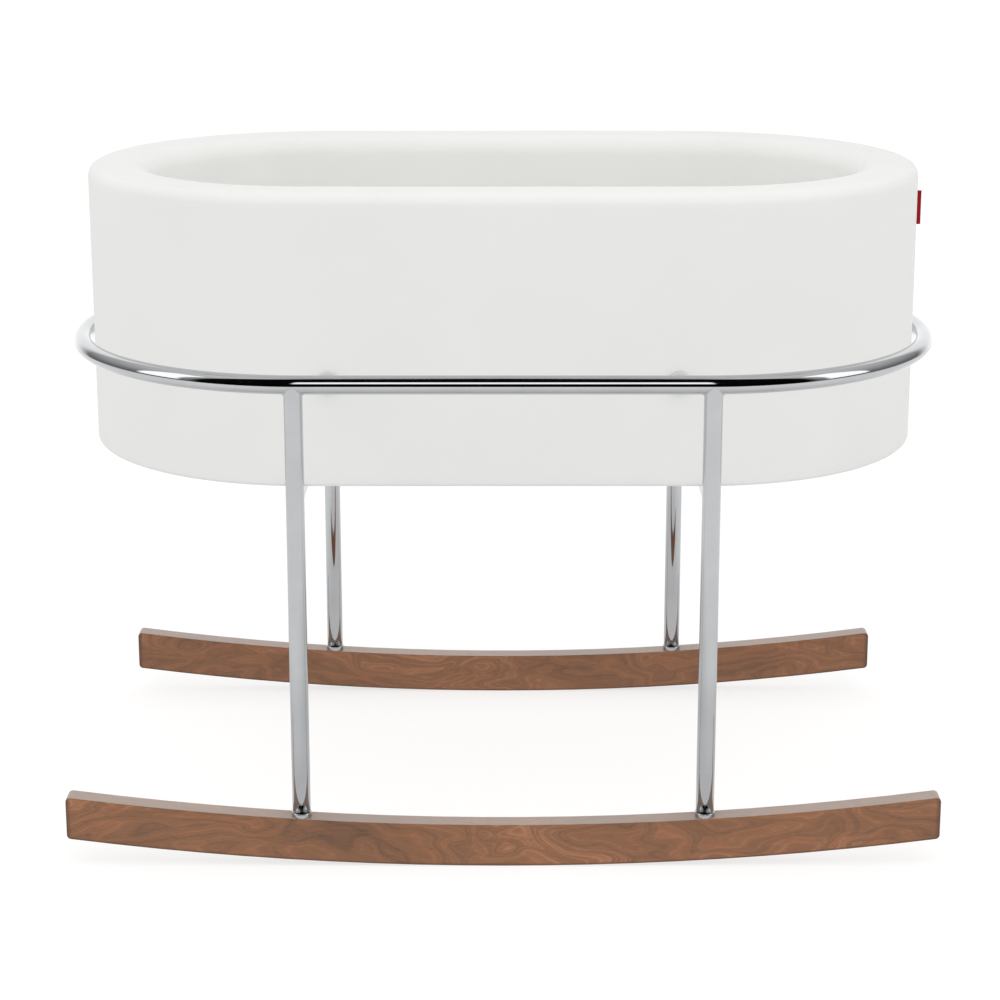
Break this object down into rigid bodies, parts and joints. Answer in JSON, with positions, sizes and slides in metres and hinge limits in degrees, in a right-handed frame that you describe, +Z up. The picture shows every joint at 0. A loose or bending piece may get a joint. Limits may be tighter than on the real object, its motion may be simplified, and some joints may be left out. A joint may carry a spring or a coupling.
{
  "type": "rocking bassinet",
  "caption": "Rocking bassinet: a padded oval fabric basket that lifts out of a chromed tube frame, which stands on curved wooden rockers, with a fitted mattress.",
  "frame": {"origin": "on the floor, under the middle of the frame, where both rockers touch down", "axes": "+X along the bassinet's length, towards the end with the fabric tag; +Y from the front to the rear; +Z up"},
  "size_m": [0.881, 0.5022, 0.662],
  "materials": {
    "chrome_tube": "mirror-polished chrome plate on steel tube",
    "ring_pad_rubber": "soft grey rubber, satin",
    "saddle_rubber": "black rubber, matt",
    "walnut": "oiled walnut, figured grain along the rocker",
    "insert_steel": "plain turned steel",
    "fastener_steel": "zinc-plated steel",
    "birch_plywood": "sanded birch plywood",
    "wall_foam": "open-cell foam",
    "cover_knit": "smooth off-white knit",
    "elastic": "flat woven elastic",
    "liner_felt": "needled felt",
    "tag_fabric": "plain red woven label",
    "mattress_foam": "open-cell foam",
    "ticking": "plain woven ticking",
    "zip_tape": "closed nylon coil zip",
    "sheet_cotton": "white cotton, plain weave"
  },
  "bodies": {
    "frame": {"frame_ring": "chrome_tube", "leg_front_left": "chrome_tube", "leg_front_right": "chrome_tube", "leg_rear_left": "chrome_tube", "leg_rear_right": "chrome_tube", "rest_bar_left": "chrome_tube", "rest_bar_right": "chrome_tube", "foot_collar_front_left": "chrome_tube", "foot_collar_front_right": "chrome_tube", "foot_collar_rear_left": "chrome_tube", "foot_collar_rear_right": "chrome_tube", "ring_pad_front_left": "ring_pad_rubber", "ring_pad_front_right": "ring_pad_rubber", "ring_pad_rear_left": "ring_pad_rubber", "ring_pad_rear_right": "ring_pad_rubber", "bar_saddle_front_left": "saddle_rubber", "bar_saddle_front_right": "saddle_rubber", "bar_saddle_rear_left": "saddle_rubber", "bar_saddle_rear_right": "saddle_rubber", "rocker_front": "walnut", "rocker_rear": "walnut", "leg_inserts": "insert_steel", "rocker_bolts": "fastener_steel", "rocker_washers": "fastener_steel"},
    "basket": {"base_board": "birch_plywood", "wall_hoop": "birch_plywood", "base_screws": "fastener_steel", "wall_padding": "wall_foam", "fabric_cover": "cover_knit", "hem_elastic": "elastic", "floor_liner": "liner_felt", "side_tag": "tag_fabric"},
    "mattress": {"mattress_core": "mattress_foam", "mattress_ticking": "ticking", "mattress_zip": "zip_tape", "fitted_sheet": "sheet_cotton"}
  },
  "joints": [
    {"name": "basket_lift", "type": "slide", "parent": "frame", "child": "basket", "axis": [0, 0, 1], "range_m": [0, 0.18]},
    {"name": "mattress_lift", "type": "slide", "parent": "basket", "child": "mattress", "axis": [0, 0, 1], "range_m": [0, 0.28]}
  ]
}
